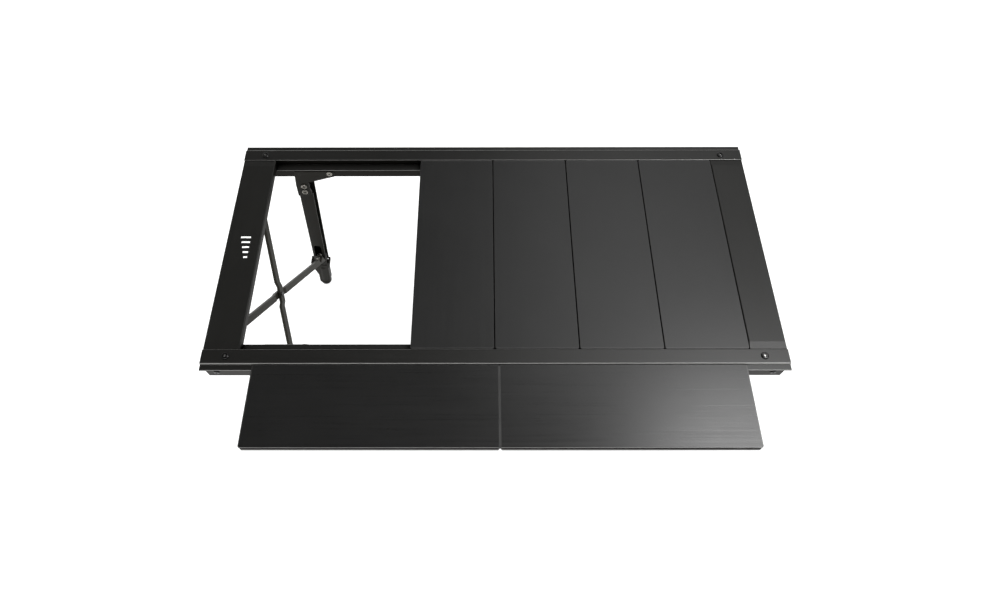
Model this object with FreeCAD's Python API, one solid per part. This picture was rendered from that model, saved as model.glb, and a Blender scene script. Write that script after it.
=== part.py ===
"""Low camp kitchen table: black aluminium frame, four lift-out slats, an open
stove bay, two more slats hung on the front rail as a side shelf, and two pairs
of splayed legs that fold inward, each pair tied by a crossed brace.

Working frame, in millimetres: X along the table, +Y to the rear, Z = 0 at the
top of the rails.  Corner parts are drawn once for the rear left corner (X < 0,
Y > 0) and mirrored.  save() moves everything so that Z = 0 is the floor and
X = Y = 0 is the middle of the table with its shelf.
"""
import FreeCAD
import Part
import math
import os

from FreeCAD import Vector

# ---- driving dimensions -------------------------------------------------
TABLE_HEIGHT = 396.0        # floor to rail top
FRAME_LENGTH = 860.0        # along X
UNIT_PITCH = 125.0          # one slat position along X
UNIT_COUNT = 6              # slat positions between the end rails
UNIT_LENGTH = 360.0         # clear length of one position, along Y

# long rails, drawn for the rear rail
WEB_Y = 180.5               # inner web, faces the slat ends
WALL_Y = 204.0              # outer wall
LIP_Y = 213.0               # edge of the hanging lip
LEDGE_Y = 167.0             # inner face of the ledge flange
RAIL_DEPTH = 43.0
FLANGE_DEPTH = 27.0         # bottom of the ledge flange
RAIL_WALL = 2.0
LIP_TOP = -3.0
LIP_BOTTOM = -5.0

# slats
SLAT_THICK = 11.0
SLAT_LENGTH = UNIT_LENGTH - 1.0
SLAT_WIDTH = 123.5          # top face; the lower flange reaches a little further
FLANGE_REACH = 0.73
SLAT_WALL = 1.4
SLAT_CORNER = 2.0           # plan chamfer at each corner
GROOVE_DEPTH = 9.5
GROOVE_PLAY = 0.3
CAP_THICK = 1.5
SLAT_CELLS = 5

# end rails
END_RAIL_X = 375.0
END_RAIL_OUT = 429.5
RAMP = 12.5                 # last stretch of the end rail, eased down to the long rail
RAMP_DROP = 0.9
END_EASE = 0.9              # bevel along the end edge

# side shelf
SHELF_JOINT_X = 6.2
SHELF_GAP = 0.15
SHELF_CLEAR = 1.1

# fastener stations
TOP_BOLT = (-394.0, 191.3)          # X, Y
SIDE_BOLT = (-414.6, -29.0)         # X, Z
WING_RIVET = (-284.8, -18.7)        # X, Z
FLUSH_RIVET = (-337.0, -20.0)       # X, Z
LEDGE_SCREW_X = (-387.0, -418.0)
LEDGE_SCREW_Y = 173.8

# leg, folding about a pivot on its bracket
PIVOT = (-338.8, -67.0)             # X, Z
SPLAY = 5.9                         # degrees
PLATE_IN = 165.7                    # bracket plate, |Y|
LEG_IN = 167.3                      # inner flange of the leg channel
LEG_OUT = 185.3                     # outer flange
LEG_WEB = -11.9                     # closed side, across the leg from its pivot
LEG_MOUTH = 13.1                    # open side, edge of the inner flange
LEG_MOUTH_OUT = 15.1                # edge of the outer flange
LEG_WALL = 1.8
SLOT_HALF = 7.5                     # brace slot in the inner flange
SLOT_FROM = 176.0                   # along the leg, from the pivot
SLOT_TO = 221.0
LEG_TOP = 22.0                      # above the pivot, along the leg
LEG_END = 246.0                     # below the pivot, along the leg
STOP_REACH = 15.0                   # stop rivet above the pivot
STOP_RADIUS = 3.0
PIVOT_RADIUS = 4.0
RUNNING_FIT = 0.05
SWEEP = 96.0                        # fold angle, degrees

# foot
FOOT_RADIUS = 11.9
FOOT_CENTRE_HEIGHT = 11.3           # bulb centre above the floor
FOOT_SHIFT = 2.5                    # bulb centre off the leg's axis
FOOT_STEM = 10.4
COLLAR_BACK = 20.5                  # collar sides, off the leg's axis
COLLAR_FRONT = 18.5
COLLAR_TOP = 241.0                  # along the leg, from the pivot
PLUG_TOP = 222.0
FOOT_RIVET = 236.0

# crossed brace, drawn in its own plane from BRACE_TOP downward
BRACE_TOP = (-411.9, -22.4)         # X, Z where a strap centre line meets |Y| = 155
BRACE_TILT = 12.5                   # degrees from vertical
BRACE_TOP_Y = 155.0
BRACE_END_Y = 163.0
BRACE_DROP = 268.1
STRAP_WIDTH = 11.5
STRAP_THICK = 5.5
STRAP_END_Y = 147.5                 # lower end, past which only the tab goes on
TAB_RISE = 4.8                      # top of that tab, above the lower pin
JOGGLE = 14.0
HEAD_CLEAR = 4.9                    # spot face round the lower pin's head
EAR_IN = 162.6
EAR_OUT = 164.6
EAR_RADIUS = 8.0
HINGE_LOCAL = (14.4, -3.8)          # upper pivot, off the strap plane and along it
SLIDE_STATION = 216.0               # lower pin, along the leg from its pivot
SLIDE_RADIUS = 2.5
SLIDE_HEAD = 4.8

BAY_X0 = -UNIT_COUNT * UNIT_PITCH / 2
SHELF_FAR_Y = WALL_Y + SHELF_CLEAR + SLAT_WIDTH + FLANGE_REACH
ROW_SHIFT = Vector(0, (SHELF_FAR_Y - LIP_Y) / 2, TABLE_HEIGHT)
X_AXIS = Vector(1, 0, 0)
Y_AXIS = Vector(0, 1, 0)
Z_AXIS = Vector(0, 0, 1)
PLANES = {
    "YZ": (Y_AXIS, Z_AXIS, X_AXIS),
    "XZ": (X_AXIS, Z_AXIS, Y_AXIS),
    "XY": (X_AXIS, Y_AXIS, Z_AXIS),
}


# ---- drawing helpers ----------------------------------------------------
def prism(points, plane, start, end):
    """Extrude a closed outline of (u, v) or (u, v, corner radius) points."""
    u_dir, v_dir, normal = PLANES[plane]
    flat = [Vector(p[0], p[1], 0) for p in points]
    radii = [p[2] if len(p) > 2 else 0.0 for p in points]
    count = len(flat)
    corners = []
    for i, here in enumerate(flat):
        back = (flat[i - 1] - here).normalize()
        ahead = (flat[(i + 1) % count] - here).normalize()
        if radii[i] == 0.0:
            corners.append((here, None, here))
            continue
        half = back.getAngle(ahead) / 2
        reach = radii[i] / math.tan(half)
        centre = here + (back + ahead).normalize() * (radii[i] / math.sin(half))
        middle = centre + (here - centre).normalize() * radii[i]
        corners.append((here + back * reach, middle, here + ahead * reach))

    def place(point):
        return u_dir * point.x + v_dir * point.y + normal * start

    edges = []
    for i, (first, middle, last) in enumerate(corners):
        following = corners[(i + 1) % count][0]
        if middle is not None:
            arc = Part.Arc(place(first), place(middle), place(last))
            edges.append(arc.toShape())
        if last.distanceToPoint(following) > 1e-6:
            line = Part.LineSegment(place(last), place(following))
            edges.append(line.toShape())
    return Part.Face(Part.Wire(edges)).extrude(normal * (end - start))


def block(x0, x1, y0, y1, z0, z1):
    return Part.makeBox(x1 - x0, y1 - y0, z1 - z0, Vector(x0, y0, z0))


def rod(radius, start, direction, length):
    return Part.makeCylinder(radius, length, start, direction)


def rod_y(radius, x, z, y0, y1):
    return rod(radius, Vector(x, y0, z), Y_AXIS, y1 - y0)


def hex_socket(across, start, direction, depth):
    """Six-sided recess tool, its axis along a main axis."""
    corner = across / math.sqrt(3)
    ring = []
    side = X_AXIS if abs(direction.x) < 0.5 else Y_AXIS
    other = direction.cross(side)
    for i in range(7):
        angle = math.radians(60 * i)
        ring.append(start + side * corner * math.cos(angle) + other * corner * math.sin(angle))
    return Part.Face(Part.makePolygon(ring)).extrude(direction * depth)


def button_bolt(seat, outward, head_radius, head_height, shank_radius, length, socket):
    """Button-head bolt: seat is the centre of the bearing face."""
    head = rod(head_radius, seat, outward, head_height)
    crown = [e for e in head.Edges if abs((e.CenterOfMass - seat).dot(outward) - head_height) < 1e-4]
    head = head.makeFillet(head_height * 0.7, crown)
    shank = rod(shank_radius, seat - outward * length, outward, length)
    recess_start = seat + outward * (head_height * 0.3)
    return head.fuse(shank).cut(hex_socket(socket, recess_start, outward, head_height))


def mirrored(shape, x=False, y=False):
    if x:
        shape = shape.mirror(Vector(0, 0, 0), X_AXIS)
    if y:
        shape = shape.mirror(Vector(0, 0, 0), Y_AXIS)
    return shape


def four_corners(shape):
    """One compound with the rear left shape at all four corners."""
    return Part.makeCompound([mirrored(shape, x, y) for x in (False, True) for y in (False, True)])


def front_and_rear(shape):
    return Part.makeCompound([shape, mirrored(shape, y=True)])


def save(node, shape):
    placed = shape.copy()
    placed.translate(ROW_SHIFT)
    placed.exportStep("parts/" + node + ".step")


# ---- frame --------------------------------------------------------------
def rail_holes():
    """Everything drilled in the left half of the rear rail."""
    tools = [
        rod(3.0, Vector(TOP_BOLT[0], TOP_BOLT[1], -5), Z_AXIS, 10),
        rod_y(2.5, SIDE_BOLT[0], SIDE_BOLT[1], WALL_Y - 5, WALL_Y + 5),
        rod_y(2.5, WING_RIVET[0], WING_RIVET[1], LEDGE_Y - 1, LEDGE_Y + 3),
        rod_y(2.5, FLUSH_RIVET[0], FLUSH_RIVET[1], LEDGE_Y - 1, LEDGE_Y + 3),
        rod_y(3.0, *brace_hinge(), LEDGE_Y - 1, LEDGE_Y + 3),
    ]
    for x in LEDGE_SCREW_X:
        tools.append(rod(2.0, Vector(x, LEDGE_SCREW_Y, -15), Z_AXIS, 6))
    return tools


def long_rail():
    half = FRAME_LENGTH / 2
    ledge_top = -SLAT_THICK
    ledge_bottom = ledge_top - RAIL_WALL
    outline = [
        (WEB_Y, 0, 0.5), (WALL_Y, 0, 2.4), (WALL_Y, LIP_TOP, 0.4),
        (LIP_Y, LIP_TOP, 1.1), (LIP_Y, LIP_BOTTOM, 0.7), (WALL_Y, LIP_BOTTOM, 0.4),
        (WALL_Y, -RAIL_DEPTH, 1.0), (WEB_Y, -RAIL_DEPTH, 1.0),
        (WEB_Y, ledge_bottom, 0), (LEDGE_Y + RAIL_WALL, ledge_bottom, 0.8),
        (LEDGE_Y + RAIL_WALL, -FLANGE_DEPTH, 0.6), (LEDGE_Y, -FLANGE_DEPTH, 0.6),
        (LEDGE_Y, ledge_top, 0.6), (WEB_Y, ledge_top, 0),
    ]
    rail = prism(outline, "YZ", -half, half)
    cavity = [
        (WEB_Y + RAIL_WALL, -RAIL_WALL), (WALL_Y - RAIL_WALL, -RAIL_WALL),
        (WALL_Y - RAIL_WALL, -RAIL_DEPTH + RAIL_WALL), (WEB_Y + RAIL_WALL, -RAIL_DEPTH + RAIL_WALL),
    ]
    rail = rail.cut(prism(cavity, "YZ", -half - 1, half + 1))
    rail = rail.cut(block(-half - 1, half + 1, LEDGE_Y - 1, LEDGE_Y + 0.5, -25.6, -24.4))
    for tool in rail_holes():
        rail = rail.cut(tool)
        rail = rail.cut(mirrored(tool, x=True))
    return rail


def corner_block():
    inner = WEB_Y + RAIL_WALL
    outer = WALL_Y - RAIL_WALL
    half = FRAME_LENGTH / 2
    body = block(-half + 2.0, -half + 62.0, inner, outer, -RAIL_DEPTH + RAIL_WALL, -RAIL_WALL)
    pocket = block(-half + 8.0, -half + 10.0, inner + 3, outer - 3, -34, -6)
    top = rod(3.0, Vector(TOP_BOLT[0], TOP_BOLT[1], -22), Z_AXIS, 22)
    side = rod_y(2.5, SIDE_BOLT[0], SIDE_BOLT[1], WALL_Y - 14, WALL_Y)
    window = block(-half + 44.0, -half + 58.0, inner - 1, outer + 1, -32, -8)
    for tool in (pocket, top, side, window):
        body = body.cut(tool)
    return body


def end_rail():
    """Left end rail, hollow, with one inner web."""
    x0 = -END_RAIL_OUT
    x1 = -END_RAIL_X
    z0 = -SLAT_THICK
    outline = [(x0, 0, 1.4), (x1, 0, 1.8), (x1, z0, 0.6), (x0, z0, 0.8)]
    rail = prism(outline, "XZ", -WEB_Y, WEB_Y)
    wall = 1.8
    middle = (x0 + x1) / 2
    for a, b in ((x0 + wall, middle - 0.8), (middle + 0.8, x1 - wall)):
        rail = rail.cut(block(a, b, -WEB_Y - 1, WEB_Y + 1, z0 + wall, -wall))
    ramp = prism([(WEB_Y - RAMP, 0), (WEB_Y - END_EASE, -RAMP_DROP), (WEB_Y + 1, -RAMP_DROP - END_EASE - 1),
                  (WEB_Y + 1, 1), (WEB_Y - RAMP, 1)], "YZ", x0 - 1, x1 + 1)
    rail = rail.cut(ramp).cut(mirrored(ramp, y=True))
    for x in LEDGE_SCREW_X:
        for y in (-LEDGE_SCREW_Y, LEDGE_SCREW_Y):
            rail = rail.cut(rod(2.0, Vector(x, y, z0 - 1), Z_AXIS, wall + 2))
    return rail


def ledge_screw(x):
    z = -SLAT_THICK - RAIL_WALL
    return button_bolt(Vector(x, LEDGE_SCREW_Y, z), -Z_AXIS, 3.8, 2.0, 2.0, 7.5, 2.0)


def frame_fasteners():
    top = button_bolt(Vector(TOP_BOLT[0], TOP_BOLT[1], 0), Z_AXIS, 5.4, 2.4, 3.0, 18, 4.0)
    side = button_bolt(Vector(SIDE_BOLT[0], WALL_Y, SIDE_BOLT[1]), Y_AXIS, 4.2, 2.0, 2.5, 12, 3.0)
    screws = Part.makeCompound([ledge_screw(x) for x in LEDGE_SCREW_X])
    save("corner_top_bolts", four_corners(top))
    save("corner_side_bolts", four_corners(side))
    save("ledge_screws", four_corners(screws))


# ---- leg brackets -------------------------------------------------------
def stand(shape):
    """Turn a leg part drawn straight down from its pivot to its splayed place."""
    shape = shape.copy()
    shape.rotate(Vector(0, 0, 0), Y_AXIS, SPLAY)
    shape.translate(Vector(PIVOT[0], 0, PIVOT[1]))
    return shape


def leg_bracket():
    px, pz = PIVOT
    outline = [
        (-345.2, -13.6, 2.0), (-276.0, -13.6, 4.0), (-276.0, -25.2, 4.0),
        (px + 11.4, -42.0, 2.5), (px + 10.6, pz - 13.2, 9.0),
        (px - 14.4, pz - 13.2, 5.0), (-350.4, -47.0, 20.0),
    ]
    plate = prism(outline, "XZ", PLATE_IN, LEDGE_Y)
    plate = plate.cut(rod_y(PIVOT_RADIUS, px, pz, PLATE_IN - 1, LEDGE_Y + 1))
    for x, z in (WING_RIVET, FLUSH_RIVET):
        plate = plate.cut(rod_y(2.5, x, z, PLATE_IN - 1, LEDGE_Y + 1))
    return plate.cut(stand(rod_y(STOP_RADIUS, 0, STOP_REACH, PLATE_IN - 1, LEDGE_Y + 1)))


def hollow_head(radius, x, z, y0, y1):
    """Rolled rivet head that shows as a ring, open toward -Y."""
    head = rod_y(radius, x, z, y0, y1)
    rim = [e for e in head.Edges if abs(e.CenterOfMass.y - y0) < 1e-4]
    head = head.makeFillet(0.6, rim)
    return head.cut(rod_y(radius * 0.62, x, z, y0 - 1, y1 - 0.3))


def bracket_rivets():
    x, z = WING_RIVET
    rivet = hollow_head(4.8, x, z, PLATE_IN - 1.2, PLATE_IN)
    rivet = rivet.fuse(rod_y(2.5, x, z, PLATE_IN, LEDGE_Y + RAIL_WALL))
    return rivet.fuse(rod_y(4.4, x, z, LEDGE_Y + RAIL_WALL, LEDGE_Y + RAIL_WALL + 1.4))


def flush_rivets():
    x, z = FLUSH_RIVET
    rivet = rod_y(2.5, x, z, PLATE_IN, LEDGE_Y + RAIL_WALL)
    return rivet.fuse(rod_y(4.4, x, z, LEDGE_Y + RAIL_WALL, LEDGE_Y + RAIL_WALL + 1.4))


def leg_pivot():
    px, pz = PIVOT
    post = hollow_head(5.2, px, pz, PLATE_IN - 1.8, PLATE_IN)
    post = post.fuse(rod_y(PIVOT_RADIUS, px, pz, PLATE_IN, LEG_OUT + 0.2))
    return post.fuse(rod_y(6.0, px, pz, LEG_OUT + 0.2, LEG_OUT + 1.8))


def stop_rivet():
    """Fixed in the bracket; the open leg's shoulder rests against its stub."""
    rivet = hollow_head(5.0, 0, STOP_REACH, PLATE_IN - 1.8, PLATE_IN)
    return stand(rivet.fuse(rod_y(STOP_RADIUS, 0, STOP_REACH, PLATE_IN, LEG_IN + LEG_WALL + 0.5)))


# ---- legs ---------------------------------------------------------------
def leg_channel():
    """Channel with its open side toward the middle of the table."""
    outline = [
        (LEG_WEB, LEG_IN, 2.2), (LEG_MOUTH, LEG_IN, 0.5), (LEG_MOUTH, LEG_IN + 4),
        (LEG_MOUTH_OUT, LEG_IN + 4), (LEG_MOUTH_OUT, LEG_OUT, 0.5), (LEG_WEB, LEG_OUT, 2.2),
    ]
    hollow = [
        (LEG_WEB + LEG_WALL, LEG_IN + LEG_WALL, 0.8), (LEG_MOUTH_OUT + 1, LEG_IN + LEG_WALL),
        (LEG_MOUTH_OUT + 1, LEG_OUT - LEG_WALL), (LEG_WEB + LEG_WALL, LEG_OUT - LEG_WALL, 0.8),
    ]
    leg = prism(outline, "XY", -LEG_END, LEG_TOP)
    leg = leg.cut(prism(hollow, "XY", -LEG_END - 1, LEG_TOP + 1))
    crown = [
        (LEG_WEB - 1, -LEG_END - 1), (LEG_MOUTH_OUT + 1, -LEG_END - 1),
        (LEG_MOUTH_OUT + 1, LEG_TOP, 11.0), (LEG_WEB - 1, LEG_TOP, 11.0),
    ]
    leg = leg.common(prism(crown, "XZ", LEG_IN - 1, LEG_OUT + 1))
    leg = leg.cut(rod_y(PIVOT_RADIUS + RUNNING_FIT, 0, 0, LEG_IN - 1, LEG_OUT + 1))
    leg = leg.cut(stop_sweep())
    leg = leg.cut(rod_y(2.5, 0, -FOOT_RIVET, LEG_OUT - LEG_WALL - 1, LEG_OUT + 1))
    slot = [
        (-SLOT_HALF, -SLOT_TO, 3.0), (SLOT_HALF, -SLOT_TO, 3.0),
        (SLOT_HALF, -SLOT_FROM, 5.0), (-SLOT_HALF, -SLOT_FROM, 5.0),
    ]
    return stand(leg.cut(prism(slot, "XZ", LEG_IN - 1, LEG_IN + LEG_WALL + 1)))


def stop_sweep():
    """Quarter cut from the inner flange; its upright edge is the shoulder that meets
    the stop rivet, and the rest clears the rivet as the leg folds."""
    y0 = LEG_IN - 1
    y1 = LEG_IN + LEG_WALL + 1
    quarter = block(-STOP_RADIUS - RUNNING_FIT, LEG_MOUTH_OUT + 2, y0, y1, -5.5, LEG_TOP + 1)
    return quarter.cut(rod_y(STOP_REACH - STOP_RADIUS - 0.3, 0, 0, y0, y1))


def pivot_bush():
    start = LEG_IN + LEG_WALL
    end = LEG_OUT - LEG_WALL
    bush = rod_y(7.0, 0, 0, start, end)
    return stand(bush.cut(rod_y(PIVOT_RADIUS + RUNNING_FIT, 0, 0, start - 1, end + 1)))


def foot_station():
    """Distance of the foot bulb's centre from the pivot, along the leg."""
    splay = math.radians(SPLAY)
    drop = TABLE_HEIGHT - FOOT_CENTRE_HEIGHT + PIVOT[1] - FOOT_SHIFT * math.sin(splay)
    return drop / math.cos(splay)


def foot():
    """Moulded foot: a plug in the leg, a collar round its end, a stem and a bulb."""
    middle = (LEG_IN + LEG_OUT) / 2
    station = foot_station()
    shoulder = LEG_END + 4.5
    plug_outline = [
        (LEG_WEB + LEG_WALL, LEG_IN + LEG_WALL, 1.0), (LEG_MOUTH - 0.6, LEG_IN + LEG_WALL, 1.0),
        (LEG_MOUTH - 0.6, LEG_OUT - LEG_WALL, 1.0), (LEG_WEB + LEG_WALL, LEG_OUT - LEG_WALL, 1.0),
    ]
    plug = prism(plug_outline, "XY", -shoulder - 1, -PLUG_TOP)
    right = FOOT_SHIFT + FOOT_RADIUS - 0.3
    left = FOOT_SHIFT - FOOT_RADIUS + 0.3
    sides = [
        (-COLLAR_BACK, -COLLAR_TOP, 1.5), (COLLAR_FRONT, -COLLAR_TOP, 1.5),
        (COLLAR_FRONT, -LEG_END - 4, 4.0), (right, -LEG_END - 17, 10.0), (right, -station - 2, 8.0),
        (left, -station - 2, 8.0), (left, -LEG_END - 43, 12.0), (-COLLAR_BACK, -LEG_END - 6, 6.0),
    ]
    body = prism(sides, "XZ", LEG_IN + 0.6, LEG_OUT - 0.6)
    for mouth, y0, y1 in ((LEG_MOUTH, LEG_IN - 1, middle), (LEG_MOUTH_OUT, middle, LEG_OUT + 1)):
        body = body.cut(block(LEG_WEB, mouth, y0, y1, -shoulder, -COLLAR_TOP + 1))
    stem = rod(FOOT_STEM, Vector(FOOT_SHIFT, middle, -station), Z_AXIS, station - LEG_END - 17)
    cone = Part.makeCone(FOOT_STEM, 6.0, 10, Vector(FOOT_SHIFT, middle, -LEG_END - 17), Z_AXIS)
    bulb = Part.makeSphere(FOOT_RADIUS, Vector(FOOT_SHIFT, middle, -station))
    shape = body.fuse([plug, stem, cone, bulb])
    shape = shape.cut(rod_y(2.5, 0, -FOOT_RIVET, middle, LEG_OUT))
    shape = stand(shape.removeSplitter())
    floor = block(-600, 0, 100, 250, -TABLE_HEIGHT - 50, -TABLE_HEIGHT)
    return shape.cut(floor)


def foot_rivet():
    middle = (LEG_IN + LEG_OUT) / 2
    rivet = rod_y(2.5, 0, -FOOT_RIVET, middle, LEG_OUT)
    return stand(rivet.fuse(rod_y(4.6, 0, -FOOT_RIVET, LEG_OUT, LEG_OUT + 1.2)))


# ---- crossed brace ------------------------------------------------------
def hang(shape):
    """Turn a brace part drawn in the plane X = 0 to its tilted place."""
    shape = shape.copy()
    shape.rotate(Vector(0, 0, 0), Y_AXIS, -BRACE_TILT)
    shape.translate(Vector(BRACE_TOP[0], 0, BRACE_TOP[1]))
    return shape


def tilt_axes():
    angle = math.radians(BRACE_TILT)
    normal = (math.cos(angle), math.sin(angle))
    upward = (-math.sin(angle), math.cos(angle))
    return normal, upward


def brace_hinge():
    """Table X and Z of the brace's upper pivot."""
    normal, upward = tilt_axes()
    off, along = HINGE_LOCAL
    x = BRACE_TOP[0] + off * normal[0] + along * upward[0]
    z = BRACE_TOP[1] + off * normal[1] + along * upward[1]
    return x, z


def slide_pin_local():
    """The lower pin, on the leg's axis, in the brace plane's own terms."""
    splay = math.radians(SPLAY)
    dx = PIVOT[0] - SLIDE_STATION * math.sin(splay) - BRACE_TOP[0]
    dz = PIVOT[1] - SLIDE_STATION * math.cos(splay) - BRACE_TOP[1]
    normal, upward = tilt_axes()
    return dx * normal[0] + dz * normal[1], dx * upward[0] + dz * upward[1]


def ear(local, y0, y1, strap_low, strap_high, hole):
    """Bent tab: a rounded plate from the strap's edge out round the pivot."""
    off, along = local
    side = STRAP_THICK / 2 if off < 0 else -STRAP_THICK / 2
    tip = off + math.copysign(EAR_RADIUS, off)
    outline = [
        (side, strap_low, 1.0), (tip, along - EAR_RADIUS, EAR_RADIUS - 0.5),
        (tip, along + EAR_RADIUS, EAR_RADIUS - 0.5), (side, strap_high, 1.0),
    ]
    plate = prism(outline, "XZ", y0, y1)
    return plate.cut(rod_y(hole, off, along, y0 - 1, y1 + 1))


def strap_bar(joggle_side):
    """Flat bar about its crossing point, stepped sideways to pass the other strap."""
    t = STRAP_THICK / 2
    step = joggle_side * t
    ramp = JOGGLE + 8
    centre = [(-260, 0), (-ramp, 0), (-JOGGLE, step), (JOGGLE, step), (ramp, 0), (260, 0)]
    outline = [(n + t, l) for l, n in centre] + [(n - t, l) for l, n in reversed(centre)]
    return prism(outline, "XY", -STRAP_WIDTH / 2, STRAP_WIDTH / 2)


def strap(joggle_side):
    """Strap from the front top corner to the rear bottom corner."""
    run = BRACE_TOP_Y + BRACE_END_Y
    slope = math.atan2(BRACE_DROP, run)
    cross_z = -BRACE_DROP * BRACE_TOP_Y / run
    bar = strap_bar(joggle_side)
    bar = bar.cut(rod(2.5, Vector(-10, 0, 0), X_AXIS, 20))
    bar.rotate(Vector(0, 0, 0), X_AXIS, -math.degrees(slope))
    bar.translate(Vector(0, 0, cross_z))
    pin = slide_pin_local()
    top_clip = 8.0
    low_clip = pin[1] - 11.0
    bar = bar.common(block(-8, 8, -EAR_OUT, EAR_OUT, low_clip, top_clip))
    bar = bar.cut(block(-8, 8, STRAP_END_Y, EAR_OUT + 1, pin[1] + TAB_RISE, 0))
    bar = bar.cut(rod_y(HEAD_CLEAR, pin[0], pin[1], STRAP_END_Y - 10, EAR_IN))
    upper = ear(HINGE_LOCAL, -EAR_OUT, -EAR_IN, HINGE_LOCAL[1] - 8, top_clip, 3.0 + RUNNING_FIT)
    lower = ear(pin, EAR_IN, EAR_OUT, low_clip, pin[1] + 7.5, 3.0)
    return hang(bar.fuse([upper, lower]).removeSplitter())


def centre_rivet():
    z = -BRACE_DROP * BRACE_TOP_Y / (BRACE_TOP_Y + BRACE_END_Y)
    x = STRAP_THICK
    rivet = rod(2.5, Vector(-x, 0, z), X_AXIS, 2 * x)
    for side in (-1, 1):
        head = rod(4.2, Vector(side * x, 0, z), X_AXIS * side, 1.2)
        rim = [e for e in head.Edges if abs(abs(e.CenterOfMass.x) - x - 1.2) < 1e-4]
        rivet = rivet.fuse(head.makeFillet(0.7, rim))
    return hang(rivet)


def brace_hinge_rivet():
    x, z = brace_hinge()
    head = rod_y(5.0, x, z, EAR_IN - 1.8, EAR_IN - 0.2)
    shank = rod_y(3.0, x, z, EAR_IN - 0.2, LEDGE_Y + RAIL_WALL)
    collar = rod_y(4.6, x, z, EAR_OUT + 0.2, LEDGE_Y)
    tail = rod_y(4.6, x, z, LEDGE_Y + RAIL_WALL, LEDGE_Y + RAIL_WALL + 1.4)
    return head.fuse([shank, collar, tail])


def slide_pin():
    """Rivet through the lower ear; its headed end runs in the leg's slot."""
    x, z = slide_pin_local()
    head = rod_y(4.6, x, z, EAR_IN - 1.8, EAR_IN)
    rim = [e for e in head.Edges if abs(e.CenterOfMass.y - EAR_IN + 1.8) < 1e-4]
    head = head.makeFillet(0.9, rim)
    inside = LEG_IN + LEG_WALL + 0.4
    shank = rod_y(3.0, x, z, EAR_IN, EAR_OUT)
    collar = rod_y(4.4, x, z, EAR_OUT, LEG_IN - 0.4)
    runner = rod_y(SLIDE_RADIUS, x, z, LEG_IN - 0.4, inside)
    tail = rod_y(SLIDE_HEAD, x, z, inside, inside + 2.0)
    return hang(head.fuse([shank, collar, runner, tail]))


# ---- slats --------------------------------------------------------------
def slat_outline(top, bottom):
    """Cross-section with a hook groove in each long edge, in Y and Z."""
    half = SLAT_WIDTH / 2
    low = LIP_BOTTOM - GROOVE_PLAY
    high = LIP_TOP + GROOVE_PLAY
    inner = half - GROOVE_DEPTH
    right = [
        (half, top, 0.5), (half, high, 0.3), (inner, high, 0), (inner, low, 0),
        (half + FLANGE_REACH, low, 0.3), (half + FLANGE_REACH, bottom, 0.6),
    ]
    left = [(-y, z, radius) for y, z, radius in reversed(right)]
    return right + left


def slat_cells():
    """Hollow cells of the slat: low, high in Y and in Z."""
    inner = SLAT_WIDTH / 2 - GROOVE_DEPTH - SLAT_WALL
    pitch = (2 * inner + SLAT_WALL) / SLAT_CELLS
    top = -SLAT_WALL
    bottom = -SLAT_THICK + SLAT_WALL
    cells = []
    for i in range(SLAT_CELLS):
        y0 = -inner + i * pitch
        cells.append((y0, y0 + pitch - SLAT_WALL, bottom, top))
    return cells


def slat_edge_cells():
    """Two flat cells under the grooves."""
    half = SLAT_WIDTH / 2
    z0 = -SLAT_THICK + SLAT_WALL
    z1 = LIP_BOTTOM - GROOVE_PLAY - SLAT_WALL
    y0 = half - GROOVE_DEPTH
    y1 = half - SLAT_WALL
    return [(y0, y1, z0, z1), (-y1, -y0, z0, z1)]


def clip_corners(shape):
    """Chamfer the four plan corners of a slat lying along X."""
    x = SLAT_LENGTH / 2
    y = SLAT_WIDTH / 2
    back = SLAT_CORNER + 1
    for sx in (-1, 1):
        for sy in (-1, 1):
            wedge = [(sx * (x + 1), sy * (y - back)), (sx * (x - back), sy * (y + 1)),
                     (sx * (x + 1), sy * (y + 1))]
            shape = shape.cut(prism(wedge, "XY", -SLAT_THICK - 1, 1))
    return shape


def slat():
    """Extruded slat lying along X, centred, top at Z = 0."""
    end = SLAT_LENGTH / 2 - CAP_THICK
    body = prism(slat_outline(0, -SLAT_THICK), "YZ", -end, end)
    for y0, y1, z0, z1 in slat_cells() + slat_edge_cells():
        body = body.cut(block(-end - 1, end + 1, y0, y1, z0, z1))
    return clip_corners(body)


def slat_caps():
    end = SLAT_LENGTH / 2
    inner_end = end - CAP_THICK
    cap = prism(slat_outline(-0.2, -SLAT_THICK + 0.2), "YZ", inner_end, end)
    for y0, y1, z0, z1 in slat_cells():
        cap = cap.fuse(block(inner_end - 6, inner_end, y0, y1, z0, z1))
    cap = clip_corners(cap)
    return Part.makeCompound([cap, mirrored(cap, x=True)])


def place_in_frame(shape, index):
    shape = shape.copy()
    shape.rotate(Vector(0, 0, 0), Z_AXIS, 90)
    shape.translate(Vector(BAY_X0 + (index + 0.5) * UNIT_PITCH, 0, 0))
    return shape


def place_on_shelf(shape, side):
    shape = shape.copy()
    x = SHELF_JOINT_X + side * (SLAT_LENGTH + SHELF_GAP) / 2
    shape.translate(Vector(x, -WALL_Y - SHELF_CLEAR - SLAT_WIDTH / 2, 0))
    return shape


# ---- build --------------------------------------------------------------
def build_frame():
    rear = long_rail()
    save("rail_rear", rear)
    save("rail_front", mirrored(rear, y=True))
    left = end_rail()
    save("end_rail_left", left)
    save("end_rail_right", mirrored(left, x=True))
    save("corner_blocks", four_corners(corner_block()))
    frame_fasteners()
    save("leg_brackets", four_corners(leg_bracket()))
    save("bracket_rivets", four_corners(bracket_rivets()))
    save("bracket_flush_rivets", four_corners(flush_rivets()))
    save("leg_pivot_rivets", four_corners(leg_pivot()))
    save("stop_rivets", four_corners(stop_rivet()))
    save("brace_hinge_rivets", four_corners(brace_hinge_rivet()))


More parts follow.
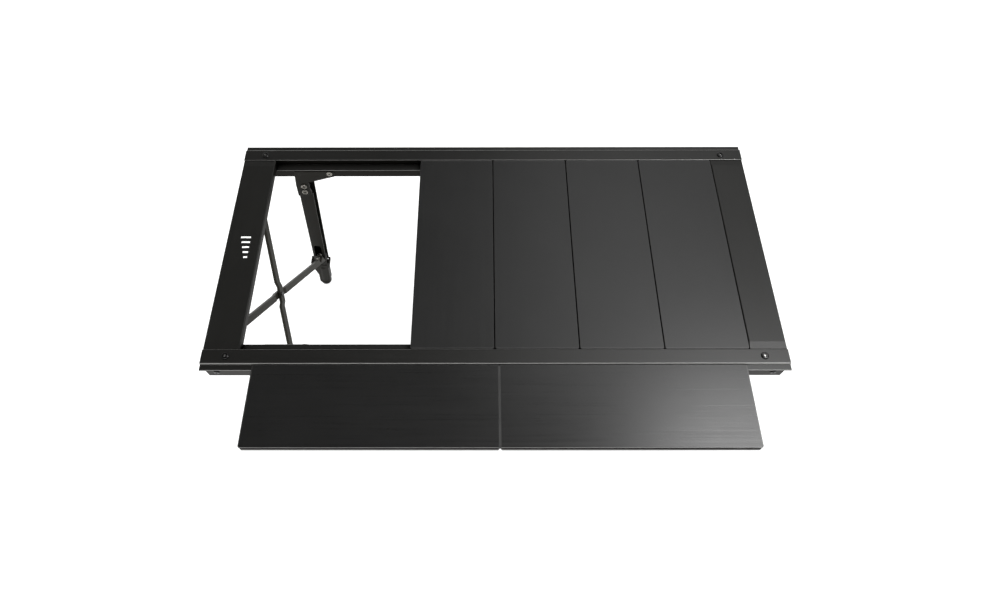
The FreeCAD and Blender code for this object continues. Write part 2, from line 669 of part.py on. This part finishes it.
def build_legs():
    channel = leg_channel()
    shoe = foot()
    for side, flip in (("left", False), ("right", True)):
        for end, turn in (("rear", False), ("front", True)):
            save(side + "_leg_" + end, mirrored(channel, flip, turn))
            save(side + "_foot_" + end, mirrored(shoe, flip, turn))
        save(side + "_pivot_bushes", mirrored(front_and_rear(pivot_bush()), flip))
        save(side + "_foot_rivets", mirrored(front_and_rear(foot_rivet()), flip))


def build_braces():
    down_to_rear = strap(-1)
    down_to_front = mirrored(strap(1), y=True)
    for side, flip in (("left", False), ("right", True)):
        save(side + "_strap_to_rear", mirrored(down_to_rear, flip))
        save(side + "_strap_to_front", mirrored(down_to_front, flip))
        save(side + "_strap_rivet", mirrored(centre_rivet(), flip))
        save(side + "_slide_pins", mirrored(front_and_rear(slide_pin()), flip))


def build_slats():
    body = slat()
    caps = slat_caps()
    for number, index in enumerate(range(2, UNIT_COUNT), start=1):
        save("slat_%d" % number, place_in_frame(body, index))
        save("slat_%d_caps" % number, place_in_frame(caps, index))
    for name, side in (("shelf_left", -1), ("shelf_right", 1)):
        save(name, place_on_shelf(body, side))
        save(name + "_caps", place_on_shelf(caps, side))


os.makedirs("parts", exist_ok=True)
build_frame()
build_legs()
build_braces()
build_slats()
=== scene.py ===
"""Camp kitchen table: finishes, printed mark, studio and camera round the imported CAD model."""
import math

import bmesh
import bpy
from mathutils import Matrix, Vector


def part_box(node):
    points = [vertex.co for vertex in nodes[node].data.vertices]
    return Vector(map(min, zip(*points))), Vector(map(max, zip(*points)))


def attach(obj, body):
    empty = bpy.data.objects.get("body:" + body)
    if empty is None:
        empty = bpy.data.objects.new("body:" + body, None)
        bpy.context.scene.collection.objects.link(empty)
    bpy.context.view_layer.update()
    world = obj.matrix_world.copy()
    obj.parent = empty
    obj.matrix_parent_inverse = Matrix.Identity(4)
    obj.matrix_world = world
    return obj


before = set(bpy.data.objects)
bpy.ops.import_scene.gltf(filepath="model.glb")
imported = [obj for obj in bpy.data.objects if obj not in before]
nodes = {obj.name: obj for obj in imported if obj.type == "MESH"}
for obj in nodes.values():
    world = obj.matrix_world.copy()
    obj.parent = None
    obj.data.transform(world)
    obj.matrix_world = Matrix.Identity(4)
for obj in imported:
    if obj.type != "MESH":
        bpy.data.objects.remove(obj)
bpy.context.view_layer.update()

TABLE_MIDDLE_Y = (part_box("rail_rear")[1].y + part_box("rail_front")[0].y) / 2
RAIL_TOP_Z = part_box("rail_rear")[1].z
UP = (0, 0, 1)
ORIGIN = (0, 0, 0)


# ---- camera: high in front of the table, looking down at it -------------
CAMERA_PLACE = (-0.01767, TABLE_MIDDLE_Y - 0.58859, RAIL_TOP_Z + 0.86637)
LENS_MM = 23.692
SENSOR_MM = 36.0
LOOK_DOWN = math.radians(62.0835)
YAW = math.radians(-0.2784)
ROLL = math.radians(-0.2888)
SHIFT = (0.01390, 0.01872)


def make_camera():
    flat = math.cos(LOOK_DOWN)
    forward = Vector((math.sin(YAW) * flat, math.cos(YAW) * flat, -math.sin(LOOK_DOWN)))
    right = Vector((math.cos(YAW), -math.sin(YAW), 0))
    up = right.cross(forward)
    level = right * math.cos(ROLL) + up * math.sin(ROLL)
    top = up * math.cos(ROLL) - right * math.sin(ROLL)
    turn = Matrix((level, top, -forward)).transposed()
    data = bpy.data.cameras.new("camera")
    data.sensor_width = SENSOR_MM
    data.lens = LENS_MM
    data.shift_x, data.shift_y = SHIFT
    data.clip_start = 0.01
    data.clip_end = 60.0
    camera = bpy.data.objects.new("camera", data)
    bpy.context.scene.collection.objects.link(camera)
    camera.matrix_world = Matrix.Translation(CAMERA_PLACE) @ turn.to_4x4()
    bpy.context.scene.camera = camera


# ---- colours ------------------------------------------------------------
RAIL_BLACK = (0.0044, 0.0043, 0.0038)
END_RAIL_BLACK = (0.0052, 0.0051, 0.0045)
SLAT_BLACK = (0.0054, 0.0054, 0.0053)
LEG_BLACK = (0.0066, 0.0061, 0.0042)
STRAP_BLACK = (0.0180, 0.0168, 0.0128)
BRACKET_BLACK = (0.0078, 0.0073, 0.0052)
CAST_GREY = (0.06, 0.06, 0.062)
FOOT_BLACK = (0.0110, 0.0104, 0.0084)
CAP_BLACK = (0.008, 0.008, 0.008)
BUSH_GREY = (0.05, 0.05, 0.05)
OXIDE_DARK = (0.0015, 0.0015, 0.0015)
OXIDE_LIGHT = (0.005, 0.005, 0.0045)
DEEP_SHADE = (0.0006, 0.0006, 0.0005)
EDGE_WEAR_AND_HIGHLIGHT = (0.16, 0.156, 0.145)
WORN_NYLON = (0.08, 0.078, 0.072)
EDGE_HIGHLIGHT_GREY = (0.33, 0.33, 0.32)
SOCKET_GLINT_STEEL = (0.60, 0.59, 0.57)
WARM_SIDE_REFLECTION = (0.42, 0.34, 0.22)


def tone(colour, factor=1.0):
    """A colour made lighter or darker, with full alpha."""
    return (*(c * factor for c in colour), 1.0)


# ---- material building blocks -------------------------------------------
class Sheet:
    """A material's node tree, with short calls for the nodes the finishes share."""

    def __init__(self, name):
        self.material = bpy.data.materials.new(name)
        self.material.use_nodes = True
        self.tree = self.material.node_tree
        self.shader = self.tree.nodes["Principled BSDF"]
        self.position = self.node("ShaderNodeTexCoord").outputs["Object"]

    def node(self, kind, **settings):
        made = self.tree.nodes.new(kind)
        for key, value in settings.items():
            setattr(made, key, value)
        return made

    def link(self, source, target):
        """Join a socket to the target, or set the target to a plain value."""
        if isinstance(source, bpy.types.NodeSocket):
            self.tree.links.new(source, target)
        else:
            target.default_value = source

    def stretch(self, scale):
        made = self.node("ShaderNodeMapping")
        self.link(self.position, made.inputs["Vector"])
        made.inputs["Scale"].default_value = scale
        return made.outputs["Vector"]

    def noise(self, scale, detail, rough, where=None):
        made = self.node("ShaderNodeTexNoise")
        self.link(where or self.position, made.inputs["Vector"])
        made.inputs["Scale"].default_value = scale
        made.inputs["Detail"].default_value = detail
        made.inputs["Roughness"].default_value = rough
        return made.outputs["Fac"]

    def spread(self, value, low, high, to_low, to_high):
        """Map low..high to to_low..to_high, held at both ends."""
        made = self.node("ShaderNodeMapRange", clamp=True)
        for source, key in ((value, "Value"), (low, "From Min"), (high, "From Max"),
                            (to_low, "To Min"), (to_high, "To Max")):
            self.link(source, made.inputs[key])
        return made.outputs["Result"]

    def calc(self, operation, a, b=0.0):
        made = self.node("ShaderNodeMath", operation=operation)
        self.link(a, made.inputs[0])
        self.link(b, made.inputs[1])
        return made.outputs[0]

    def mix(self, factor, a, b):
        """Colour a where factor is 0, colour b where it is 1."""
        made = self.node("ShaderNodeMix", data_type="RGBA")
        self.link(factor, made.inputs["Factor"])
        self.link(a, made.inputs[6])
        self.link(b, made.inputs[7])
        return made.outputs[2]

    def bump(self, height, strength, distance):
        made = self.node("ShaderNodeBump")
        made.inputs["Strength"].default_value = strength
        made.inputs["Distance"].default_value = distance
        self.link(height, made.inputs["Height"])
        self.link(made.outputs["Normal"], self.shader.inputs["Normal"])

    def dot(self, a, b):
        made = self.node("ShaderNodeVectorMath", operation="DOT_PRODUCT")
        self.link(a, made.inputs[0])
        self.link(b, made.inputs[1])
        return made.outputs["Value"]

    def along(self, direction, origin):
        """Distance from origin, measured along a direction."""
        return self.calc("SUBTRACT", self.dot(self.position, direction),
                         Vector(direction).dot(Vector(origin)))

    def facing_up(self):
        """1 on faces that look up, 0 on upright ones, -1 on those that look down."""
        return self.dot(self.node("ShaderNodeTexCoord").outputs["Normal"], UP)

    def openness(self, reach):
        """1 on open faces, towards 0 in corners and hollows."""
        hollow = self.node("ShaderNodeAmbientOcclusion", samples=8)
        hollow.inputs["Distance"].default_value = reach
        return hollow.outputs["AO"]

    def edges(self, radius):
        """1 along sharp edges, 0 on flat faces."""
        bevel = self.node("ShaderNodeBevel", samples=4)
        bevel.inputs["Radius"].default_value = radius
        geometry = self.node("ShaderNodeNewGeometry")
        agree = self.dot(bevel.outputs["Normal"], geometry.outputs["Normal"])
        return self.spread(agree, 0.995, 0.90, 0.0, 1.0)

    def paint_recess_shade(self, base, specular):
        """Set colour and gloss, both fading to black in joints, corners and hollows: painted shade
        where ambient occlusion is low.
        """
        open_air = self.spread(self.openness(0.03), 0.35, 0.80, 0.0, 1.0)
        colour = self.mix(open_air, tone(DEEP_SHADE), base)
        self.link(colour, self.shader.inputs["Base Color"])
        gloss = self.calc("MULTIPLY", open_air, specular)
        self.link(gloss, self.shader.inputs["Specular IOR Level"])


# ---- black metal --------------------------------------------------------
def drawn_lines(s, streak, colour, grain, base, finish):
    """Faint lines left by the extrusion die, run along one direction."""
    lines = s.noise(1.0, 3.0, 0.6, s.stretch(streak))
    base = s.mix(s.spread(lines, 0.35, 0.7, 0.0, 0.22), base, tone(colour, 1.5))
    height = s.calc("ADD", s.calc("MULTIPLY", grain, 0.65), s.calc("MULTIPLY", lines, 0.5))
    finish = s.calc("ADD", finish, s.spread(lines, 0.35, 0.65, -0.03, 0.03))
    return base, height, finish


def paint_side_reflections(s, tint, specular):
    """Tint what upright faces reflect warm and weaken it: a painted reflection tint and painted shade
    on the sides; returns the gloss to use.
    """
    upright = s.spread(s.facing_up(), 0.25, 0.55, 1.0, 0.0)
    s.link(s.mix(upright, (1, 1, 1, 1), tone(tint)), s.shader.inputs["Specular Tint"])
    return s.spread(upright, 0.0, 1.0, specular, specular * 0.35)


def worn_and_highlighted_edges(s, marks, wear_and_highlight, base):
    # Pale edges: partly wear, partly a painted highlight on the edges.
    edge = s.calc("MULTIPLY", s.edges(0.0006), s.spread(marks, 0.40, 0.66, 0.25, 1.0))
    return s.mix(s.calc("MULTIPLY", edge, wear_and_highlight), base, tone(EDGE_WEAR_AND_HIGHLIGHT))


def paint_edge_highlight(s, edge_highlight, base):
    """Painted highlight: a pale metallic band on rounded upper edges, between level and upright."""
    level = s.facing_up()
    highlight_band = s.calc("MULTIPLY", s.spread(level, 0.35, 0.50, 0.0, edge_highlight),
                  s.spread(level, 0.97, 0.90, 0.0, 1.0))
    s.link(highlight_band, s.shader.inputs["Metallic"])
    return s.mix(highlight_band, base, tone(EDGE_HIGHLIGHT_GREY))


def coated(name, colour, rough, grain_mm, grain_depth, streak=None, wear_and_highlight=0.5, specular=0.35,
           sides=None, edge_highlight=0.0):
    """Black anodised or powder-coated metal: fine grain, soft handling marks, pale edges that
    are partly wear and partly painted highlight, and painted shade in recesses, with the
    choice of drawn lines, painted side reflections and painted edge highlights."""
    s = Sheet(name)
    grain = s.noise(1000.0 / grain_mm, 2.0, 0.6)
    cloud = s.noise(9.0, 4.0, 0.55)
    marks = s.noise(55.0, 5.0, 0.7)
    base = s.mix(s.spread(cloud, 0.3, 0.7, 0.0, 1.0), tone(colour, 0.86), tone(colour, 1.16))
    base = s.mix(s.spread(grain, 0.40, 0.75, 0.0, 0.3), base, tone(colour, 1.7))
    height = grain
    finish = s.calc("ADD", s.spread(marks, 0.3, 0.7, rough - 0.008, rough + 0.012),
                    s.spread(grain, 0.3, 0.7, -0.02, 0.03))
    if streak is not None:
        base, height, finish = drawn_lines(s, streak, colour, grain, base, finish)
    if sides is not None:
        specular = paint_side_reflections(s, sides, specular)
    base = worn_and_highlighted_edges(s, marks, wear_and_highlight, base)
    if edge_highlight > 0:
        base = paint_edge_highlight(s, edge_highlight, base)
    s.paint_recess_shade(base, specular)
    s.link(finish, s.shader.inputs["Roughness"])
    s.bump(height, 0.35, grain_depth)
    return s.material


# ---- other finishes -----------------------------------------------------
def moulded(name, colour, rough, grain_mm, grain_depth, specular=0.3):
    """Moulded nylon: spark-eroded grain, slightly polished where it is handled, with painted shade in
    its hollows.
    """
    s = Sheet(name)
    grain = s.noise(1000.0 / grain_mm, 3.0, 0.6)
    cloud = s.noise(38.0, 3.0, 0.6)
    base = s.mix(s.spread(cloud, 0.35, 0.7, 0.0, 1.0), tone(colour), tone(colour, 1.5))
    base = s.mix(s.calc("MULTIPLY", s.edges(0.0009), 0.3), base, tone(WORN_NYLON))
    s.paint_recess_shade(base, specular)
    s.link(s.spread(cloud, 0.3, 0.7, rough - 0.06, rough + 0.05), s.shader.inputs["Roughness"])
    s.bump(grain, 0.45, grain_depth)
    return s.material


def rivet_steel(name):
    """Plated rivet: the rolled middle painted dark grey for the shade in its hollow head, with random
    tarnish, and a painted highlight on the thin rim.
    """
    s = Sheet(name)
    scratch = s.noise(1.0, 2.0, 0.7, s.stretch((2600.0, 500.0, 2600.0)))
    tarnish = s.noise(420.0, 4.0, 0.6)
    base = s.mix(s.spread(tarnish, 0.40, 0.66, 0.0, 1.0),
                 tone((0.075, 0.072, 0.062)), tone((0.03, 0.029, 0.025)))
    rim_highlight = s.calc("MULTIPLY", s.edges(0.0015), s.spread(tarnish, 0.35, 0.60, 1.0, 0.65))
    base = s.mix(rim_highlight, base, tone((0.92, 0.88, 0.80)))
    # Painted shade: the colour fades to near black in the hollow heads.
    open_air = s.spread(s.openness(0.012), 0.15, 0.45, 0.0, 1.0)
    s.link(s.mix(open_air, tone((0.004, 0.004, 0.003)), base), s.shader.inputs["Base Color"])
    s.shader.inputs["Metallic"].default_value = 1.0
    s.link(s.spread(scratch, 0.3, 0.7, 0.22, 0.40), s.shader.inputs["Roughness"])
    s.bump(scratch, 0.25, 0.00004)
    return s.material


def paint_socket_glint(s, x, y, cloud, base):
    """A painted glint of bright steel in the sockets of four screws, one per corner: x and y
    are a screw's distances from the middle of the table."""
    off_x = s.calc("SUBTRACT", s.calc("ABSOLUTE", s.along((1, 0, 0), ORIGIN)), x)
    from_middle = s.along((0, 1, 0), (0, TABLE_MIDDLE_Y, 0))
    off_y = s.calc("SUBTRACT", s.calc("ABSOLUTE", from_middle), y)
    squared = s.calc("ADD", s.calc("MULTIPLY", off_x, off_x), s.calc("MULTIPLY", off_y, off_y))
    glint = s.calc("MULTIPLY", s.spread(s.calc("SQRT", squared), 0.0012, 0.0019, 1.0, 0.0),
                  s.spread(cloud, 0.35, 0.5, 0.6, 1.0))
    s.link(s.spread(glint, 0.0, 1.0, 0.2, 1.0), s.shader.inputs["Metallic"])
    return s.mix(glint, base, tone(SOCKET_GLINT_STEEL))


def black_oxide(name, screw=None):
    """Blackened and oiled steel, smooth and darker than the rails.  screw gives the
    corner screws' place, where a glint is painted in their sockets."""
    s = Sheet(name)
    cloud = s.noise(300.0, 4.0, 0.6)
    base = s.mix(s.spread(cloud, 0.35, 0.7, 0.0, 1.0), tone(OXIDE_DARK), tone(OXIDE_LIGHT))
    s.shader.inputs["Metallic"].default_value = 0.2
    if screw is not None:
        base = paint_socket_glint(s, *screw, cloud, base)
    s.link(base, s.shader.inputs["Base Color"])
    s.link(s.spread(cloud, 0.3, 0.7, 0.16, 0.26), s.shader.inputs["Roughness"])
    s.bump(cloud, 0.15, 0.00004)
    return s.material


def white_ink(name):
    """Screen-printed mark: slightly uneven and rubbed."""
    s = Sheet(name)
    rub = s.noise(700.0, 4.0, 0.7)
    base = s.mix(s.spread(rub, 0.60, 0.78, 0.0, 0.5),
                 tone((0.86, 0.86, 0.85)), tone((0.40, 0.40, 0.39)))
    s.link(base, s.shader.inputs["Base Color"])
    s.link(s.spread(rub, 0.3, 0.7, 0.5, 0.65), s.shader.inputs["Roughness"])
    s.bump(rub, 0.2, 0.00003)
    return s.material


# ---- finishes on the parts ----------------------------------------------
# Noise scales that draw lines along X, along Y and down the legs.
LINES_X = (6.0, 900.0, 900.0)
LINES_Y = (900.0, 6.0, 900.0)
LINES_LEG = (700.0, 700.0, 8.0)
BOLT_HEAD_RADIUS = 0.0054


def dress(names, material):
    for name in names:
        mesh = nodes[name].data
        mesh.materials.clear()
        mesh.materials.append(material)


def named(*ends):
    return [n for n in nodes if n.endswith(ends)]


def dress_frame():
    rail = coated("rail_anodised", RAIL_BLACK, rough=0.38, grain_mm=0.55, grain_depth=0.00003,
                  streak=LINES_X, wear_and_highlight=0.75, sides=WARM_SIDE_REFLECTION, edge_highlight=0.75)
    end_rail = coated("end_rail_anodised", END_RAIL_BLACK, rough=0.40, grain_mm=0.55,
                      grain_depth=0.00003, streak=LINES_Y, wear_and_highlight=0.35, specular=0.26, sides=WARM_SIDE_REFLECTION)
    bracket = coated("bracket_coat", BRACKET_BLACK, rough=0.48, grain_mm=0.8,
                     grain_depth=0.00008, wear_and_highlight=0.3, specular=0.10)
    block = coated("cast_block", CAST_GREY, rough=0.55, grain_mm=1.1, grain_depth=0.0001, wear_and_highlight=0.4)
    dress(["rail_front", "rail_rear"], rail)
    dress(["end_rail_left", "end_rail_right"], end_rail)
    dress(["leg_brackets", "bracket_flush_rivets"], bracket)
    dress(["corner_blocks"], block)


def dress_slats():
    slat = coated("slat_anodised", SLAT_BLACK, rough=0.38, grain_mm=0.5, grain_depth=0.00003,
                  streak=LINES_Y, wear_and_highlight=0.35, sides=WARM_SIDE_REFLECTION)
    shelf = coated("shelf_anodised", SLAT_BLACK, rough=0.31, grain_mm=0.5, grain_depth=0.00003,
                   streak=LINES_X, wear_and_highlight=0.40, sides=WARM_SIDE_REFLECTION, edge_highlight=1.0)
    cap = moulded("cap_nylon", CAP_BLACK, rough=0.40, grain_mm=0.6, grain_depth=0.00005, specular=0.5)
    dress(["slat_1", "slat_2", "slat_3", "slat_4"], slat)
    dress(["shelf_left", "shelf_right"], shelf)
    dress(named("_caps"), cap)


def dress_legs():
    leg = coated("leg_anodised", LEG_BLACK, rough=0.44, grain_mm=0.6, grain_depth=0.00004,
                 streak=LINES_LEG, wear_and_highlight=0.8, specular=0.09)
    strap = coated("strap_coat", STRAP_BLACK, rough=0.46, grain_mm=0.8, grain_depth=0.00007,
                   wear_and_highlight=0.6, specular=0.15)
    foot = moulded("foot_nylon", FOOT_BLACK, rough=0.55, grain_mm=0.7, grain_depth=0.00008,
                   specular=0.10)
    bush = moulded("bush_nylon", BUSH_GREY, rough=0.5, grain_mm=0.7, grain_depth=0.00005)
    dress(named("_leg_front", "_leg_rear"), leg)
    dress(named("_strap_to_rear", "_strap_to_front"), strap)
    dress(named("_foot_front", "_foot_rear"), foot)
    dress(named("_pivot_bushes"), bush)


def dress_fasteners():
    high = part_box("corner_top_bolts")[1]
    screw = (high.x - BOLT_HEAD_RADIUS, high.y - BOLT_HEAD_RADIUS - TABLE_MIDDLE_Y)
    black = ["corner_side_bolts", "ledge_screws", "brace_hinge_rivets"]
    black += named("_foot_rivets", "_strap_rivet")
    bright = ["bracket_rivets", "leg_pivot_rivets", "stop_rivets"]
    bright += named("_slide_pins")
    dress(["corner_top_bolts"], black_oxide("top_bolt", screw))
    dress(black, black_oxide("black_screw"))
    dress(bright, rivet_steel("rivet_steel"))


# ---- printed mark: a plain gauge of white bars on the left end rail ------
MARK_BARS = 5
MARK_PITCH = 0.0095
MARK_LINE = 0.0030
MARK_SHORT = 0.0060
MARK_STEP = 0.0025
MARK_THICK = 0.00008
MARK_ACROSS = 0.70


def solid(name, form, material):
    """An object in the scene from a finished bmesh."""
    mesh = bpy.data.meshes.new(name)
    form.to_mesh(mesh)
    form.free()
    mesh.materials.append(material)
    made = bpy.data.objects.new(name, mesh)
    bpy.context.scene.collection.objects.link(made)
    return made


def make_mark():
    """Bars that grow by a step each, their right ends in line across the rail."""
    low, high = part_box("end_rail_left")
    right = low.x + (high.x - low.x) * MARK_ACROSS
    middle = (low.y + high.y) / 2
    form = bmesh.new()
    for i in range(MARK_BARS):
        length = MARK_SHORT + MARK_STEP * i
        y = middle + (i - (MARK_BARS - 1) / 2) * MARK_PITCH
        bar = bmesh.ops.create_cube(form, size=1.0)["verts"]
        bmesh.ops.scale(form, vec=(length, MARK_LINE, MARK_THICK), verts=bar)
        bmesh.ops.translate(form, vec=(right - length / 2, y, high.z + MARK_THICK / 2), verts=bar)
    mark = solid("mark_left", form, white_ink("white_ink"))
    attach(mark, "frame")


# ---- studio -------------------------------------------------------------
FLOOR_REACH = 7.0
FLOOR_GLOW = 0.80
WALL_RADIUS = 6.6
WALL_HEIGHT = 5.0
WALL_GLOW = 0.85
WALL_FADE = (2.0, 4.4)
WORLD_GLOW = 0.05

# Panels: name, place, the point it faces, size, watts, and whether it is seen only as
# a reflection (True) or only lights surfaces (False).
PANELS = (
    ("overhead", (0, 0, 3.2), (0, 0, 0), (5.0, 5.0), 230, False),
    ("softbox_right", (1.08, 0.25, 2.3), (1.08, 0.25, 0), (0.6, 0.6), 21, True),
    ("softbox_rear", (0.68, 1.30, 2.3), (0.68, 1.30, 0), (1.1, 1.6), 11, True),
    ("softbox_corner", (1.50, -0.30, 2.3), (1.50, -0.30, 0), (0.6, 0.6), 62, True),
    ("strip_front", (0, -2.3, 1.9), (0, 0, 0.4), (3.6, 0.5), 20, True),
)


def floor_white():
    s = Sheet("floor_white")
    soft = s.noise(3.0, 2.0, 0.5)
    base = s.mix(s.spread(soft, 0.3, 0.7, 0.0, 1.0), (0.42, 0.42, 0.42, 1), (0.45, 0.45, 0.45, 1))
    s.link(base, s.shader.inputs["Base Color"])
    s.shader.inputs["Roughness"].default_value = 0.9
    s.shader.inputs["Specular IOR Level"].default_value = 0.1
    s.shader.inputs["Emission Color"].default_value = (1, 1, 1, 1)
    s.shader.inputs["Emission Strength"].default_value = FLOOR_GLOW
    return s.material


def backdrop_white():
    """Pale low down, fading to grey towards the top."""
    s = Sheet("backdrop_white")
    height = s.along(UP, ORIGIN)
    glow = s.mix(s.spread(height, *WALL_FADE, 0.0, 1.0), (0.95, 0.95, 0.95, 1), (0.3, 0.3, 0.3, 1))
    s.link(glow, s.shader.inputs["Emission Color"])
    s.shader.inputs["Emission Strength"].default_value = WALL_GLOW
    s.shader.inputs["Base Color"].default_value = (0, 0, 0, 1)
    s.shader.inputs["Specular IOR Level"].default_value = 0.0
    return s.material


def make_floor():
    form = bmesh.new()
    bmesh.ops.create_grid(form, x_segments=4, y_segments=4, size=FLOOR_REACH)
    floor = solid("floor", form, floor_white())


def make_backdrop():
    """An open cylinder standing on the floor, which also lights the rounded edges."""
    form = bmesh.new()
    bmesh.ops.create_cone(form, cap_ends=False, segments=96, radius1=WALL_RADIUS,
                          radius2=WALL_RADIUS, depth=WALL_HEIGHT,
                          matrix=Matrix.Translation((0, 0, WALL_HEIGHT / 2)))
    wall = solid("backdrop", form, backdrop_white())
    wall.visible_shadow = False


def make_world():
    world = bpy.data.worlds.new("studio")
    world.use_nodes = True
    world.node_tree.nodes["Background"].inputs["Color"].default_value = (1, 1, 1, 1)
    world.node_tree.nodes["Background"].inputs["Strength"].default_value = WORLD_GLOW
    bpy.context.scene.world = world


def make_panel(name, place, aim, size, watts, mirrored):
    data = bpy.data.lights.new(name, "AREA")
    data.shape = "RECTANGLE"
    data.size, data.size_y = size
    data.energy = watts
    light = bpy.data.objects.new(name, data)
    bpy.context.scene.collection.objects.link(light)
    light.location = place
    light.rotation_euler = (Vector(aim) - Vector(place)).to_track_quat("-Z", "Y").to_euler()
    light.visible_glossy = mirrored
    light.visible_diffuse = not mirrored


make_camera()
dress_frame()
dress_slats()
dress_legs()
dress_fasteners()
make_mark()
make_floor()
make_backdrop()
make_world()
for panel in PANELS:
    make_panel(*panel)
bpy.context.scene.view_settings.view_transform = "Standard"
